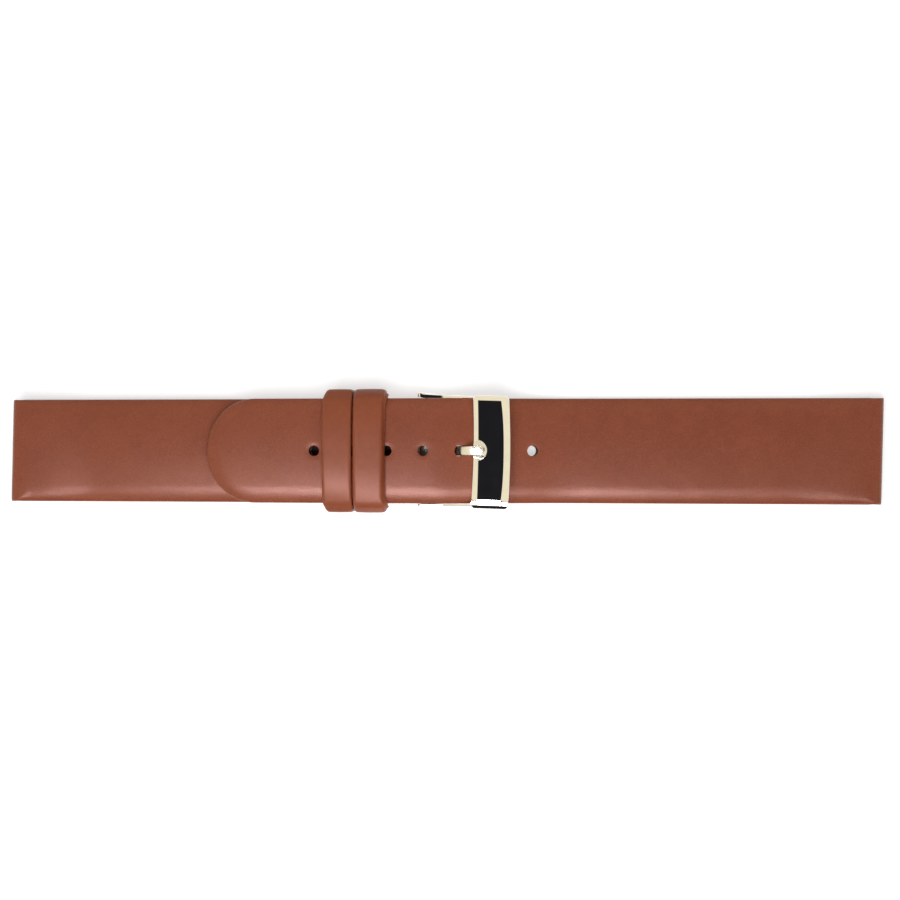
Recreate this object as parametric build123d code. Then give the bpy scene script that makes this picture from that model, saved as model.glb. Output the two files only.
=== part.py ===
"""Leather watch strap with a pin buckle, lying flat and buckled.

The short strap carries the buckle, the fixed keeper and the free keeper. The
long strap, or tail, comes from the right, goes under the front bar of the
buckle, over the spring bar and back through both keepers. +X runs along the
strap from the short strap's lug end to the tail's lug end, +Y across it, +Z up.
The origin is under the middle of the strap, on the surface that it lies on.
"""

from build123d import *
import math
import os

# Strap leather, the same for both straps
strap_width = 17.8
strap_thickness = 2.1
crown_rise = 0.35
edge_bulge = 0.55
lining_thickness = 0.45
lining_margin = 0.3
turned_edge_thickness = 0.35
turned_edge_width = 3.1
core_thickness = 0.35
core_margin = 0.8
padding_margin = 0.5
padding_side_height = 0.06
upper_thickness = 0.5

# Lengths along the strap, from the axis of the spring bar
short_length = 72.8
tail_reach = 76.1
tail_overlap = 37.7
tip_length = 8.4

# Lug ends, rolled around the bores for the watch's own spring bars
lug_roll_radius = 1.5
lug_bore_radius = 0.9
lug_tape_thickness = 0.2
lug_swell_length = 9.0
lug_crown_rise = 0.06
lug_edge_round = 0.5
lug_core_setback = 3.2

# Adjustment holes, punched square to the leather and spaced along its upper face
hole_count = 7
hole_pitch = 6.2
hole_diameter = 1.8
tip_to_first_hole = 18.9

# Spring bar of the buckle
barrel_radius = 0.75
barrel_bore_radius = 0.5
barrel_end_clearance = 0.6
barrel_lip_length = 0.5
pin_radius = 0.38
pin_head_radius = 0.45
pin_head_length = 1.4
pin_short_of_face = 0.06
pin_end_play = 0.02
spring_wall = 0.15
running_fit = 0.05

# Fold of the short strap around the spring bar
fold_leather = 0.6
fold_tape_thickness = 0.2
fold_flap_length = 6.4
fold_flap_thickness = 0.5
fold_swell_length = 5.2
fold_edge_round = 0.4
fold_inset = 0.08
tongue_slot_width = 3.4
tongue_slot_depth = 3.4

# Buckle frame, one piece of steel
frame_side_clearance = 0.15
arm_thickness = 0.45
arm_eye_radius = 1.5
front_bar_reach = 8.1
front_bar_width = 6.35
front_bar_thickness = 1.4
front_bar_bow = 0.2
front_bar_gap = 0.15
front_bar_corner = 0.4
inner_bevel = 0.85
outer_bevel = 1.15
bevel_drop = 0.45
end_bevel = 1.2
end_bevel_drop = 0.3
arm_top_share = 0.2
arm_foot_share = 0.4

# Tongue of the buckle
tongue_width = 1.6
tongue_thickness = 0.9
tongue_eye_radius = 1.35
tongue_eye_width = 2.8
tongue_root_reach = 0.9
tongue_root_rise = 0.2
tongue_bend_reach = 5.6
tongue_bend_rise = 1.85
tongue_knee_reach = 7.9
tongue_tip_reach = 10.0
tongue_tip_rise = 0.28
tongue_proud = 0.05
tongue_tip_round = 0.6
tongue_edge_round = 0.25
tongue_lift_degrees = 3.0
tongue_hole_clearance = 0.15
notch_width = 3.6
notch_reach = 10.6
notch_clearance = 0.2

# Keepers
keeper_length = 5.0
keeper_wall = 1.15
keeper_side_clearance = 0.4
keeper_top_clearance = 0.25
keeper_gap = 0.25
keeper_to_bar = 7.0
keeper_corner_radius = 1.5
keeper_inner_radius = 0.5
keeper_edge_round = 0.3
keeper_core_thickness = 0.4
keeper_core_margin = 0.6

# How the tail lies over the short strap and comes down to the surface
strap_clearance = 0.1
split_reach = 0.6
split_gap = 0.04
fall_degrees = 11.0
crest_radius = 13.0
foot_radius = 32.0

overrun = 2.0

# Levels and places worked out from the sizes above
half_width = strap_width / 2
arm_inner = half_width + frame_side_clearance
frame_half = arm_inner + arm_thickness
left_end_x = -(short_length + tail_reach) / 2
right_end_x = -left_end_x
bar_x = left_end_x + short_length
short_z = keeper_wall + strap_clearance
bar_z = short_z + strap_thickness / 2
fold_bore_radius = barrel_radius + running_fit
fold_leather_radius = fold_bore_radius + fold_tape_thickness
fold_radius = fold_leather_radius + fold_leather
crest_z = bar_z + fold_radius + strap_clearance
tip_z = short_z + strap_thickness + strap_clearance
tail_slope = math.atan2(crest_z - tip_z, tail_overlap)
split_x = bar_x + split_reach
loose_length = (tail_overlap + split_reach) / math.cos(tail_slope)
lug_leather_radius = lug_bore_radius + lug_tape_thickness
lining_half = half_width - edge_bulge - lining_margin
core_half = half_width - core_margin
padding_half = core_half - padding_margin
turned_level = lining_thickness + turned_edge_thickness
core_level = turned_level + core_thickness
padding_top = strap_thickness - upper_thickness


def across(x, z=0):
    """Plane square to the strap: its own x runs along +Y and its own y up."""
    return Plane(origin=(x, 0, z), x_dir=(0, 1, 0), z_dir=(1, 0, 0))


def side(y=0):
    """Plane along the strap: its own x runs along +X and its own y up."""
    return Plane(origin=(0, y, 0), x_dir=(1, 0, 0), z_dir=(0, -1, 0))


def side_prism(face, half):
    """Solid of a side view face, centred on the strap and twice half wide."""
    return extrude(side(half) * face, amount=2 * half)


def cross_bar(x, z, radius, half):
    """Round bar across the strap."""
    return side_prism(Pos(x, z) * Circle(radius), half)


def block(x_range, y_range, z_range):
    """Box between two places on each axis."""
    spans = [high - low for low, high in (x_range, y_range, z_range)]
    middle = [(low + high) / 2 for low, high in (x_range, y_range, z_range)]
    return Pos(*middle) * Box(*spans)


def outer_section(thickness, crown):
    """Section of the whole strap: flat below, with rounded edges and a crown."""
    flat = half_width - edge_bulge
    shoulder = thickness - crown
    return make_face([
        Line((-flat, 0), (flat, 0)),
        ThreePointArc((flat, 0), (half_width, shoulder / 2), (flat, shoulder)),
        ThreePointArc((flat, shoulder), (0, thickness), (-flat, shoulder)),
        ThreePointArc((-flat, shoulder), (-half_width, shoulder / 2), (-flat, 0)),
    ])


def block_section(half, low, high):
    return Pos(0, (low + high) / 2) * Rectangle(2 * half, high - low)


def lining_section():
    return block_section(lining_half, 0, lining_thickness)


def core_section():
    """Filler between the turned edges, with the stiffener that lies on them."""
    filler = block_section(lining_half - turned_edge_width, lining_thickness, turned_level)
    return filler + block_section(core_half, turned_level, core_level)


def padding_section():
    """Padding that lies on the core and gives the strap its crown."""
    side_top = core_level + padding_side_height
    return make_face([
        Line((-padding_half, side_top), (-padding_half, core_level)),
        Line((-padding_half, core_level), (padding_half, core_level)),
        Line((padding_half, core_level), (padding_half, side_top)),
        ThreePointArc((padding_half, side_top), (0, padding_top), (-padding_half, side_top)),
    ])


def lug_swell(mouth_x, roll_x, base_z):
    """Strap that thickens from its usual section to the roll around the bore."""
    whole = loft([
        across(mouth_x, base_z) * outer_section(strap_thickness, crown_rise),
        across(roll_x, base_z) * outer_section(2 * lug_roll_radius, lug_crown_rise),
    ], ruled=True)
    roll = cross_bar(roll_x, base_z + lug_roll_radius, lug_roll_radius, half_width)
    return whole + fillet(roll.edges().filter_by(GeomType.CIRCLE), lug_edge_round)


def lug_tape(roll_x, base_z):
    """Woven tape rolled inside the lug end, around the bore."""
    level = base_z + lug_roll_radius
    tape = cross_bar(roll_x, level, lug_leather_radius, half_width)
    return tape - cross_bar(roll_x, level, lug_bore_radius, half_width + overrun)


def lug_room(roll_x, base_z):
    """Room for the tape and its bore, right through the lug end."""
    return cross_bar(roll_x, base_z + lug_roll_radius, lug_leather_radius, half_width + overrun)


def keeper_span(right_x):
    return right_x - keeper_length, right_x


def build_short_strap(tab_room):
    """Layers of the short strap, its lug end and its fold around the spring bar."""
    roll_x = left_end_x + lug_roll_radius
    mouth_x = roll_x + lug_swell_length
    core_start = roll_x + lug_core_setback
    fold_start = bar_x - fold_radius

    def run(section, start, end):
        return extrude(across(start, short_z) * section, amount=end - start)

    slot = block(
        (bar_x - tongue_slot_depth, bar_x + fold_radius + overrun),
        (-tongue_slot_width / 2, tongue_slot_width / 2),
        (short_z - overrun, crest_z + overrun),
    )
    lining = run(lining_section(), core_start, fold_start) - slot
    core = run(core_section(), core_start, fold_start) - slot
    padding = run(padding_section(), core_start, fold_start) - slot

    swell_half = half_width - 2 * edge_bulge
    shoulder_z = short_z + strap_thickness - crown_rise
    swell = side_prism(make_face(Polyline(
        (bar_x - fold_swell_length, shoulder_z), (bar_x, shoulder_z),
        (bar_x, bar_z + fold_radius - fold_tape_thickness),
        (bar_x - fold_swell_length, shoulder_z),
    )), swell_half)
    flap = block(
        (bar_x - fold_flap_length, bar_x),
        (-swell_half, swell_half),
        (short_z - fold_flap_thickness, short_z),
    )
    fold = cross_bar(bar_x, bar_z, fold_radius, half_width - fold_inset)
    fold = fillet(fold.edges().filter_by(GeomType.CIRCLE), fold_edge_round)
    fold_room = cross_bar(bar_x, bar_z, fold_leather_radius, half_width + overrun)
    fold_bore = cross_bar(bar_x, bar_z, fold_bore_radius, half_width + overrun)
    fold_tape = cross_bar(bar_x, bar_z, fold_leather_radius, half_width - fold_edge_round)

    upper = run(outer_section(strap_thickness, crown_rise), mouth_x, bar_x)
    upper = upper + lug_swell(mouth_x, roll_x, short_z) + swell + flap + fold
    upper = upper - lining - core - padding - slot - tab_room
    upper = upper - lug_room(roll_x, short_z) - fold_room
    return {
        "short_upper_leather": upper,
        "short_padding": padding,
        "short_core": core,
        "short_lining": lining,
        "short_lug_tape": lug_tape(roll_x, short_z),
        "short_loop_tape": fold_tape - fold_bore - slot,
    }


def tip_plan(inset):
    """Plan view of the loose end: straight sides and a half ellipse for a tip."""
    middle_x = split_x - loose_length + tip_length
    half = half_width - inset
    end_x = split_x - split_gap
    sides = Pos((middle_x + end_x) / 2, 0) * Rectangle(end_x - middle_x, 2 * half)
    return sides + Pos(middle_x, 0) * Ellipse(tip_length - inset, half)


def lay_back(solid):
    """Turn the flat loose end about the split, so that its tip meets the short strap."""
    hinge_axis = Axis((split_x, 0, crest_z), (0, 1, 0))
    return solid.rotate(hinge_axis, -math.degrees(tail_slope))


def hole_reaches():
    """Where the holes lie along the leather, measured from the split towards the lug end."""
    return [tip_to_first_hole + hole_pitch * index - loose_length for index in range(hole_count)]


def build_loose_end():
    """Half of the tail from its tip to the spring bar, which the keepers hold down."""
    start_x = split_x - loose_length - overrun
    run_length = loose_length + overrun

    def layer(section, inset):
        whole = extrude(across(start_x, crest_z) * section, amount=run_length)
        plan = extrude(Pos(0, 0, crest_z - overrun) * tip_plan(inset), amount=3 * overrun)
        return whole & plan

    lining = layer(lining_section(), half_width - lining_half)
    core = layer(core_section(), core_margin)
    padding = layer(padding_section(), half_width - padding_half)
    upper = layer(outer_section(strap_thickness, crown_rise), 0)
    punches = [
        Pos(split_x + reach, 0, crest_z) * Cylinder(hole_diameter / 2, 4 * strap_thickness)
        for reach in hole_reaches() if reach < 0
    ]
    upper = upper - lining - core - padding
    layers = {
        "tail_upper_loose_end": upper,
        "tail_padding_loose_end": padding,
        "tail_core_loose_end": core,
        "tail_lining_loose_end": lining,
    }
    return {name: lay_back(solid - punches) for name, solid in layers.items()}


def tail_path(end_x, height=0):
    """Tail in side view at a height in its leather, from the split down to the surface."""
    fall = math.radians(fall_degrees)
    steep_drop = crest_z - (crest_radius + foot_radius) * (1 - math.cos(fall))
    slant = steep_drop / math.sin(fall)
    half_fall = fall / 2
    crest = Vector(split_x, crest_z + height)
    crest_turn = crest_radius + height
    foot_turn = foot_radius - height

    def bend(start, radius, centre_side, turn_from, turn_to):
        centre = start - Vector(math.sin(turn_from), math.cos(turn_from)) * radius * centre_side
        return [
            centre + Vector(math.sin(turn), math.cos(turn)) * radius * centre_side
            for turn in ((turn_from + turn_to) / 2, turn_to)
        ]

    crest_middle, crest_end = bend(crest, crest_turn, 1, 0, fall)
    foot_start = crest_end + Vector(math.cos(fall), -math.sin(fall)) * slant
    foot_middle, foot_end = bend(foot_start, foot_turn, -1, fall, 0)
    edges = [
        ThreePointArc(crest, crest_middle, crest_end),
        Line(crest_end, foot_start),
        ThreePointArc(foot_start, foot_middle, foot_end),
        Line(foot_end, Vector(end_x, foot_end.Y)),
    ]
    return Wire([side() * edge for edge in edges])


def build_watch_end(tongue_room):
    """Half of the tail from the spring bar to its lug end, through the buckle."""
    roll_x = right_end_x - lug_roll_radius
    mouth_x = roll_x - lug_swell_length
    core_path = tail_path(roll_x - lug_core_setback)

    def run(section, path):
        return sweep(across(split_x, crest_z) * section, path=path)

    lining = run(lining_section(), core_path)
    core = run(core_section(), core_path)
    padding = run(padding_section(), core_path)
    upper = run(outer_section(strap_thickness, crown_rise), tail_path(mouth_x))
    upper = upper + lug_swell(mouth_x, roll_x, 0)
    upper = upper - lining - core - padding - lug_room(roll_x, 0)

    punches = [tongue_room]
    upper_path = tail_path(mouth_x, strap_thickness)
    for reach in hole_reaches():
        if reach > 0:
            place = upper_path.position_at(reach, position_mode=PositionMode.LENGTH)
            along = upper_path.tangent_at(reach, position_mode=PositionMode.LENGTH)
            square = Plane(origin=place, x_dir=(0, 1, 0), z_dir=(-along.Z, 0, along.X))
            punches.append(square * Cylinder(hole_diameter / 2, 3 * strap_thickness))
    layers = {
        "tail_upper_watch_end": upper,
        "tail_padding_watch_end": padding,
        "tail_core_watch_end": core,
        "tail_lining_watch_end": lining,
    }
    built = {name: solid - punches for name, solid in layers.items()}
    built["tail_lug_tape"] = lug_tape(roll_x, 0)
    return built


def keeper_ring(low, high, floor, grow, corner):
    """Ring between the keeper's opening and that opening grown by a wall."""
    inner_half = half_width + keeper_side_clearance
    middle = (low + high) / 2
    inner = Pos(0, middle) * RectangleRounded(2 * inner_half, high - low, keeper_inner_radius)
    outer_low = low - floor
    outer_high = high + grow
    outer = Pos(0, (outer_low + outer_high) / 2) * RectangleRounded(
        2 * (inner_half + grow), outer_high - outer_low, corner)
    return outer - inner


def keeper_opening_top():
    """Height of the keepers' opening, just above the tail at the buckle's side."""
    drop = math.tan(tail_slope) * keeper_to_bar
    return crest_z - drop + strap_thickness + keeper_top_clearance


def build_keeper(right_x, low, floor):
    """Leather loop with its stiffener in a channel of the inner face."""
    start, end = keeper_span(right_x)
    high = keeper_opening_top()
    leather = extrude(
        across(start) * keeper_ring(low, high, floor, keeper_wall, keeper_corner_radius),
        amount=keeper_length,
    )
    end_faces = leather.faces().filter_by(Axis.X)
    rims = [edge for face in end_faces for edge in face.outer_wire().edges()]
    leather = fillet(rims, keeper_edge_round)
    core_corner = keeper_inner_radius + keeper_core_thickness
    core_floor = min(floor, keeper_core_thickness)
    core = extrude(
        across(start + keeper_core_margin)
        * keeper_ring(low, high, core_floor, keeper_core_thickness, core_corner),
        amount=keeper_length - 2 * keeper_core_margin,
    )
    return leather, core


def build_keepers():
    """The fixed keeper, whose ends are glued under the turned edge, and the free one."""
    fixed_right = bar_x - keeper_to_bar
    free_right = fixed_right - keeper_length - keeper_gap
    fixed, fixed_core = build_keeper(fixed_right, short_z + turned_level, turned_edge_thickness)
    free, free_core = build_keeper(free_right, keeper_wall, keeper_wall)

    start, end = keeper_span(fixed_right)
    tab_half = lining_half - turned_edge_width
    low = short_z + lining_thickness
    high = short_z + turned_level
    between_tabs = block((start - overrun, end + overrun), (-tab_half, tab_half), (low, high))
    legs_only = block(
        (start, end), (-strap_width, strap_width),
        (high + keeper_inner_radius, high + strap_width),
    )
    fixed_core = fixed_core & legs_only
    fixed = fixed - between_tabs
    tab_room = block((start, end), (-strap_width, strap_width), (low, high)) - between_tabs
    keepers = {
        "fixed_keeper_leather": fixed - fixed_core,
        "fixed_keeper_core": fixed_core,
        "free_keeper_leather": free - free_core,
        "free_keeper_core": free_core,
    }
    return keepers, tab_room


def build_spring_bar():
    """Barrel, two sprung pins and the spring between their heads."""
    half = arm_inner - barrel_end_clearance
    lip_start = half - barrel_lip_length
    head_end = lip_start - pin_end_play
    head_start = head_end - pin_head_length

    def bar(radius, half_length):
        return cross_bar(bar_x, bar_z, radius, half_length)

    barrel = bar(barrel_radius, half) - bar(barrel_bore_radius, lip_start)
    barrel = barrel - bar(pin_radius + running_fit, half + overrun)
    spring = bar(pin_head_radius, head_start)
    spring = spring - bar(pin_head_radius - spring_wall, half)
    tip_y = frame_half - pin_short_of_face
    pin = bar(pin_radius, tip_y) - bar(half_width, head_start)
    head = bar(pin_head_radius, head_end) - bar(half_width, head_start)
    both = pin + head
    room = short_length
    left = both & block((-room, room), (0, room), (-room, room))
    right = both & block((-room, room), (-room, 0), (-room, room))
    return {
        "spring_bar_barrel": barrel,
        "spring_bar_pin_left": left,
        "spring_bar_pin_right": right,
        "spring_bar_spring": spring,
    }


def front_bar_level():
    """Underside of the front bar, just clear of the tail below its inner edge."""
    slope = math.radians(fall_degrees)
    crest_run = crest_radius * math.sin(slope)
    crest_drop = crest_radius * (1 - math.cos(slope))
    slant_run = front_bar_reach - split_reach - crest_run
    leather_top = crest_z - crest_drop - slant_run * math.tan(slope)
    leather_top = leather_top + strap_thickness / math.cos(slope)
    return leather_top + front_bar_gap


def tongue_level():
    """Middle of the tongue where it comes over the front bar's inner edge."""
    return front_bar_level() + front_bar_thickness + tongue_proud - tongue_thickness / 2


def build_frame():
    """Front bar with its bevels and notch, and the two arms with their eyes."""
    low = front_bar_level()
    top = low + front_bar_thickness
    inner_x = bar_x + front_bar_reach
    outer_x = inner_x + front_bar_width
    half = frame_half
    plan = make_face([
        ThreePointArc((inner_x, -half), (inner_x + front_bar_bow, 0), (inner_x, half)),
        Line((inner_x, half), (outer_x - front_bar_bow, half)),
        ThreePointArc((outer_x - front_bar_bow, half), (outer_x, 0), (outer_x - front_bar_bow, -half)),
        Line((outer_x - front_bar_bow, -half), (inner_x, -half)),
    ])
    bar = extrude(Pos(0, 0, low) * plan, amount=front_bar_thickness)
    middle_x = (inner_x + outer_x) / 2
    bevels = [
        ((outer_x, 0, top), outer_bevel, bevel_drop),
        ((inner_x + front_bar_bow, 0, top), inner_bevel, bevel_drop),
        ((middle_x, half, top), end_bevel, end_bevel_drop),
        ((middle_x, -half, top), end_bevel, end_bevel_drop),
    ]
    for place, along, down in bevels:
        face = bar.faces().sort_by(Axis.Z)[-1]
        edge = face.edges().sort_by_distance(place)[0]
        bar = chamfer(edge, along, down, reference=face)
    bar = fillet(bar.edges().filter_by(Axis.Z).group_by(Axis.X)[-1], front_bar_corner)

    depth = tongue_thickness - tongue_proud + notch_clearance
    half_notch = notch_width / 2
    dish_radius = (half_notch ** 2 + depth ** 2) / (2 * depth)
    dish_plane = Plane(origin=(bar_x, 0, top - depth + dish_radius), z_dir=(1, 0, 0))
    dish = extrude(dish_plane * Circle(dish_radius), amount=notch_reach)
    round_x = bar_x + notch_reach - half_notch
    notch_plan = Pos((bar_x + round_x) / 2, 0) * Rectangle(round_x - bar_x, notch_width)
    notch_plan = notch_plan + Pos(round_x, 0) * Circle(half_notch)
    bar = bar - (dish & extrude(notch_plan, amount=2 * top))

    eye = Pos(bar_x, bar_z) * Circle(arm_eye_radius)
    arm_top = (inner_x + arm_top_share * front_bar_width, top - bevel_drop)
    arm_foot = (inner_x + arm_foot_share * front_bar_width, low)
    profile = make_hull(eye.edges() + [Line(arm_top, arm_foot).edge()])
    profile = profile - Pos(bar_x, bar_z) * Circle(pin_radius + running_fit)
    between = block(
        (bar_x - arm_eye_radius - overrun, outer_x),
        (-arm_inner, arm_inner),
        (0, top + overrun),
    )
    return bar + (side_prism(profile, half) - between)


def tongue_shaft(grow, lift=0):
    """Side view of the tongue's shaft, grown all round and lifted about the bar."""
    level = tongue_level()
    root = Vector(bar_x + tongue_root_reach, bar_z + tongue_root_rise)
    bend = Vector(bar_x + tongue_bend_reach, bar_z + tongue_bend_rise)
    knee = Vector(bar_x + tongue_knee_reach, level)
    tip = Vector(bar_x + tongue_tip_reach, level + tongue_tip_rise)
    half = tongue_thickness / 2 + grow
    shape = Pos(bend) * Circle(half) + Pos(knee) * Circle(half)
    for start, end in ((root, bend), (bend, knee), (knee, tip)):
        run = end - start
        angle = math.degrees(math.atan2(run.Y, run.X))
        middle = (start + end) / 2
        shape = shape + Pos(middle) * Rot(0, 0, angle) * Rectangle(run.length, 2 * half)
    return Pos(bar_x, bar_z) * Rot(0, 0, lift) * Pos(-bar_x, -bar_z) * shape


def build_tongue():
    """Tongue with its eye around the spring bar, lying in the front bar's notch."""
    shaft = side_prism(tongue_shaft(0), tongue_width / 2)
    tip_edges = shaft.faces().sort_by(Axis.X)[-1].edges().filter_by(Axis.Y, reverse=True)
    shaft = fillet(tip_edges, tongue_tip_round)
    long_edges = shaft.faces().filter_by(Axis.Y).edges()
    shaft = fillet(long_edges, tongue_edge_round)
    eye = cross_bar(bar_x, bar_z, tongue_eye_radius, tongue_eye_width / 2)
    bore = cross_bar(bar_x, bar_z, barrel_radius + running_fit, half_width)
    return (shaft + eye) - bore


def build_tongue_room():
    """Way through the tail's leather for the tongue, at rest and lifted."""
    lifts = (0, tongue_lift_degrees / 2, tongue_lift_degrees)
    return [
        side_prism(tongue_shaft(tongue_hole_clearance, lift), hole_diameter / 2)
        for lift in lifts
    ]


def build_all():
    keepers, tab_room = build_keepers()
    room = build_tongue_room()
    nodes = build_short_strap(tab_room)
    nodes.update(keepers)
    nodes.update(build_spring_bar())
    nodes.update(build_loose_end())
    nodes.update(build_watch_end(room[0] + room[1] + room[2]))
    nodes["buckle_frame"] = build_frame()
    nodes["buckle_tongue"] = build_tongue()
    return nodes


os.makedirs("parts", exist_ok=True)
for name, shape in build_all().items():
    shape.label = name
    export_step(shape, os.path.join("parts", name + ".step"))
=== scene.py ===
"""Looks of a leather watch strap that lies buckled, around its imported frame.

Lengths in this file are in millimetres and turn into metres in make_mesh. +X
runs along the strap from the short strap's lug end to the tail's, +Y across it.
"""
import math

import bmesh
import bpy
import numpy as np
from mathutils import Matrix, Vector, noise


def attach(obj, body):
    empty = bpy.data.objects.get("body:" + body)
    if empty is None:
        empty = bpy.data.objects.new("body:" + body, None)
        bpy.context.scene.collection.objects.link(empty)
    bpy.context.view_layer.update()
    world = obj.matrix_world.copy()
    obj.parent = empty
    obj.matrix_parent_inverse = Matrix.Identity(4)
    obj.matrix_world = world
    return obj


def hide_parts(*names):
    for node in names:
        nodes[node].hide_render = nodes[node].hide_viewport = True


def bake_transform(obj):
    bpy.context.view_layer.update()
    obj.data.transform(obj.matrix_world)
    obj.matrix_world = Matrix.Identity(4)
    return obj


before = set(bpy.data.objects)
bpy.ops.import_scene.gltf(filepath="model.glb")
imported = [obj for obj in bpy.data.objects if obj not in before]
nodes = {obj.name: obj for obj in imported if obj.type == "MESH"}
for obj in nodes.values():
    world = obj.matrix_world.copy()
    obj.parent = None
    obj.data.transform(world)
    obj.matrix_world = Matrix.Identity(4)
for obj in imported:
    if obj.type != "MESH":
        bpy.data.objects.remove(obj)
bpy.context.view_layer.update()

MM = 0.001

# Sizes shared with the frame
HALF = 8.9  # half of the strap's width
THICK = 2.1
CROWN = 0.35
LINING_HALF = 8.05
BAR_X, BAR_Z = -1.65, 2.3  # the spring bar's axis
SPLIT_X, CREST_Z = -1.05, 4.0
SLOPE = math.radians(0.836)
FALL = math.radians(11.0)
CREST_RADIUS, FOOT_RADIUS = 13.0, 32.0
SLANT = 16.63  # length of the tail's slope
LOOSE = 38.30  # length of the tail's loose end
TIP = 8.4
SHORT_Z = 1.25  # height of the short strap's underside
LEFT_ROLL_X, RIGHT_ROLL_X = -72.95, 72.95
ROLL_RADIUS = 1.5
SWELL = 14.0  # longer than the frame's
LINING_SETBACK = 3.2
FOLD_RADIUS = 1.6
HOLES = [-19.40, -13.20, -7.00, -0.80, 5.40, 11.60, 17.80]  # from the split
HOLE_RADIUS = 0.9

# Points of a half section: over its top, around its edge, and the last one's index
TOP_STEPS = 20
EDGE_STEPS = 12
PROFILE = TOP_STEPS + EDGE_STEPS

# What a boolean has to leave
LEAST_CUT_FACES = 100
LEAST_JOINED_SHARE = 0.7


# Meshes

def make_mesh(name, grids, sharp=40.0):
    """One object from grids of points; common points of the grids are joined."""
    bm = bmesh.new()
    for points, wrap in grids:
        points = np.asarray(points, float)
        rows, cols = points.shape[:2]
        verts = [bm.verts.new(p) for p in points.reshape(-1, 3) * MM]
        for r in range(rows - 1):
            for c in range(cols if wrap else cols - 1):
                a, b = r * cols + c, r * cols + (c + 1) % cols
                bm.faces.new([verts[i] for i in (a, b, b + cols, a + cols)])
    bmesh.ops.remove_doubles(bm, verts=bm.verts, dist=2e-6)
    bmesh.ops.dissolve_degenerate(bm, dist=1e-7, edges=bm.edges)
    bmesh.ops.recalc_face_normals(bm, faces=bm.faces)
    return object_from(bm, name, sharp)


def object_from(bm, name, sharp=40.0):
    """Smoothly shaded object; edges sharper than the angle stay sharp."""
    mesh = bpy.data.meshes.new(name)
    bm.to_mesh(mesh)
    bm.free()
    mesh.shade_smooth()
    mesh.set_sharp_from_angle(angle=math.radians(sharp))
    piece = bpy.data.objects.new(name, mesh)
    bpy.context.scene.collection.objects.link(piece)
    return piece


def cylinder(start, end, radius, sides=48):
    """Closed round bar between two points, for cutting bores and holes."""
    start, end = Vector(start) * MM, Vector(end) * MM
    bm = bmesh.new()
    turn = (end - start).to_track_quat("Z", "Y").to_matrix().to_4x4()
    matrix = Matrix.Translation((start + end) / 2) @ turn
    bmesh.ops.create_cone(
        bm, cap_ends=True, segments=sides, radius1=radius * MM, radius2=radius * MM,
        depth=(end - start).length, matrix=matrix)
    return object_from(bm, "cutter")


def prism(low, high):
    """Closed bar between two outlines of as many points, for cutting."""
    bm = bmesh.new()
    rings = [[bm.verts.new([part * MM for part in point]) for point in outline]
             for outline in (low, high)]
    count = len(low)
    for i in range(count):
        j = (i + 1) % count
        bm.faces.new((rings[0][i], rings[0][j], rings[1][j], rings[1][i]))
    bm.faces.new(rings[0])
    bm.faces.new(rings[1])
    bmesh.ops.recalc_face_normals(bm, faces=bm.faces)
    return object_from(bm, "cutter")


def capped(rows):
    """Grids of a tube of points, with a flat cap on each end."""
    rows = np.array(rows)
    grids = [(rows, True)]
    for row in (rows[0], rows[-1]):
        middle = np.repeat(row.mean(0)[None], len(row), 0)
        grids.append((np.array([row, middle]), True))
    return grids


def combine(piece, other, operation):
    """Exact boolean of a piece with another object, which is used up."""
    step = piece.modifiers.new("combine", "BOOLEAN")
    step.operation = operation
    step.solver = "EXACT"
    step.object = other
    graph = bpy.context.evaluated_depsgraph_get()
    mesh = bpy.data.meshes.new_from_object(piece.evaluated_get(graph))
    piece.modifiers.clear()
    piece.data = mesh
    bpy.data.objects.remove(other)


def cut(piece, cutters, sharp=40.0):
    """Take cutters out of a piece, one after the other."""
    for cutter in cutters:
        combine(piece, cutter, "DIFFERENCE")
    if len(piece.data.polygons) < LEAST_CUT_FACES:
        raise RuntimeError("a cut piece came out empty")
    piece.data.set_sharp_from_angle(angle=math.radians(sharp))
    return piece


def join(piece, others):
    """Fuse pieces of one casting."""
    for other in others:
        faces = len(piece.data.polygons) + len(other.data.polygons)
        combine(piece, other, "UNION")
        if len(piece.data.polygons) < LEAST_JOINED_SHARE * faces:
            raise RuntimeError("a fused piece lost faces")
    return piece


# The strap's section and the paths that it follows

def ease(t):
    """Smooth step from 0 to 1."""
    t = np.clip(t, 0, 1)
    return t * t * (3 - 2 * t)


def strap_profile(thick, crown, shoulder, toe, middle, recess, half=HALF, lip=LINING_HALF):
    """Right half of a section: points over the top, then under the bottom, as (y, height)."""
    flat = np.linspace(0, half - shoulder, TOP_STEPS + 1)[:-1]
    turn = np.linspace(0, math.pi / 2, EDGE_STEPS + 1)
    y = np.concatenate([flat, half - shoulder + shoulder * np.sin(turn)])
    share = np.concatenate([np.ones(TOP_STEPS), np.cos(turn)])
    crowned = thick - crown * (y / half) ** 2
    top = np.stack([y, middle + (crowned - middle) * share], 1)
    toe_steps = EDGE_STEPS - 3
    turn = np.linspace(0, math.pi / 2, toe_steps + 1)
    y = np.concatenate([
        np.linspace(0, lip - 0.06, TOP_STEPS), [lip, lip + 0.01, lip + 0.06],
        half - toe + toe * np.sin(turn)])
    height = np.concatenate([
        np.full(TOP_STEPS, recess), [recess * 0.9, recess * 0.15, 0.0],
        middle * (1 - np.cos(turn))])
    return np.concatenate([top, np.stack([y, height], 1)[::-1][1:]])


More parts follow.
